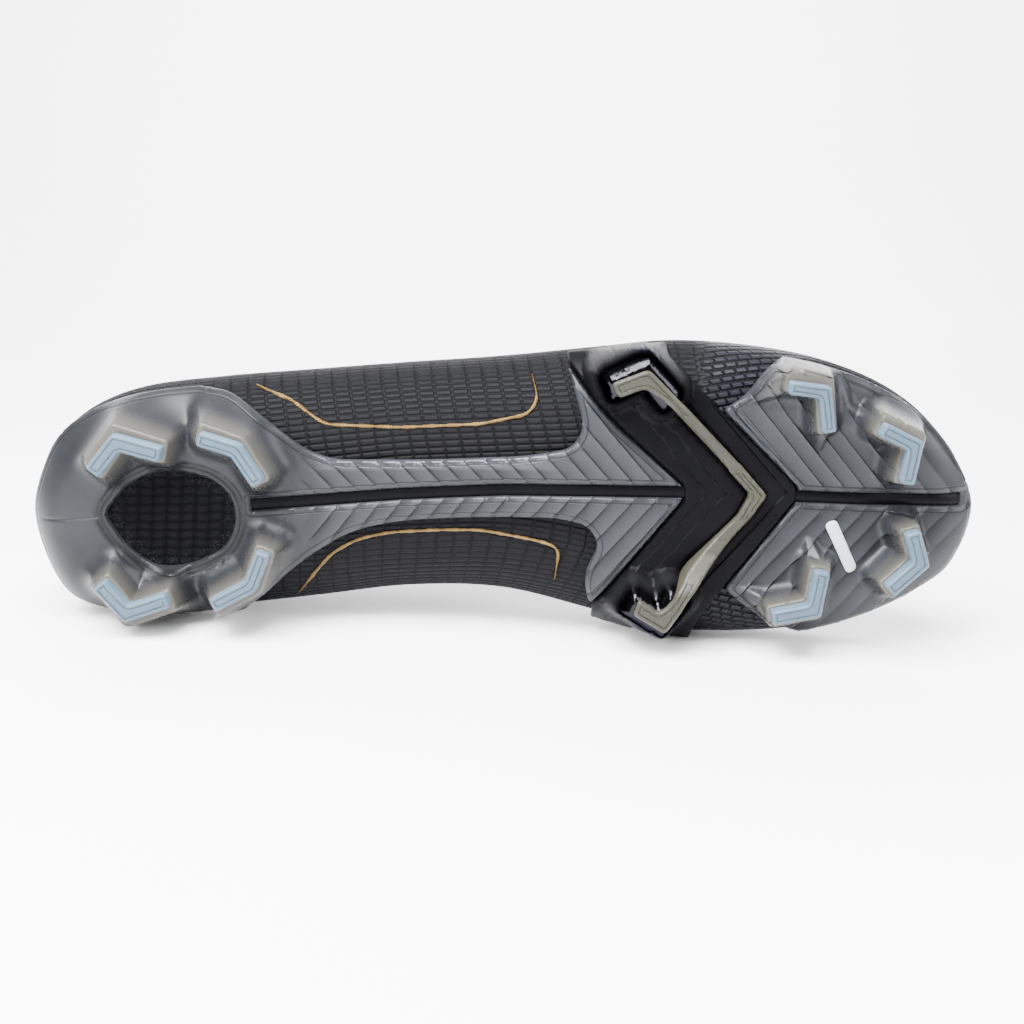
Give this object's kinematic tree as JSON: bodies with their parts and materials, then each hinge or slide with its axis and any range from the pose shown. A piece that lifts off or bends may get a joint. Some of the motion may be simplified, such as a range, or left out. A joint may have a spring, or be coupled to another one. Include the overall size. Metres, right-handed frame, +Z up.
{
  "type": "soccer cleat",
  "caption": "Low-cut right soccer cleat with a knitted upper, a plastic chevron outsole on bladed studs, a laced throat and a lift-out insole.",
  "frame": {"origin": "centre of the plan bounding box, on the ground under the stud tips", "axes": "+X towards the toe, +Y to the medial (inner) side, +Z up; the shoe stands on its stud tips"},
  "size_m": [0.285, 0.0914, 0.0998],
  "materials": {
    "knit": "coarse matt knit with a thin clear coat",
    "board": "matt",
    "lining": "soft matt",
    "insole": "matt textile on foam",
    "collar": "soft rib knit",
    "tongue": "rib knit",
    "eyestay": "smooth fused film",
    "lace": "flat woven",
    "aglet": "gloss",
    "plate": "pearl satin",
    "gloss_black": "high gloss",
    "olive": "semi gloss",
    "tip_blue": "semi gloss, milky",
    "gold": "metallic thread",
    "badge": "satin"
  },
  "bodies": {
    "shoe": {"knit_upper": "knit", "heel_counter": "board", "toe_puff": "board", "lining": "lining", "strobel_board": "board", "collar_roll": "collar", "tongue": "tongue", "eyestay_lateral": "eyestay", "eyestay_medial": "eyestay", "lace": "lace", "aglet_a": "aglet", "aglet_b": "aglet", "rear_plate": "plate", "front_plate": "plate", "spine_plate": "gloss_black", "traction_chevron": "olive", "gold_line_lateral": "gold", "gold_line_medial": "gold", "blank_badge": "badge", "tip_heel_lateral_rear": "tip_blue", "tip_heel_lateral_front": "tip_blue", "tip_heel_medial_rear": "tip_blue", "tip_heel_medial_front": "tip_blue", "tip_front_lateral_rear": "tip_blue", "tip_front_lateral_front": "tip_blue", "tip_front_medial_front": "tip_blue", "tip_front_medial_rear": "tip_blue"},
    "insole_body": {"insole": "insole"},
    "tongue_top_body": {"tongue_top": "tongue"}
  },
  "joints": [
    {"name": "insole_lift", "type": "hinge", "parent": "shoe", "child": "insole_body", "pos_m": [0.131, 0.00482, 0.0285], "axis": [0, 1, 0], "range_deg": [0, 5]},
    {"name": "tongue_top_fold", "type": "hinge", "parent": "shoe", "child": "tongue_top_body", "pos_m": [-0.0281, -0.00138, 0.0803], "axis": [0, 1, 0], "range_deg": [0, 45]}
  ]
}
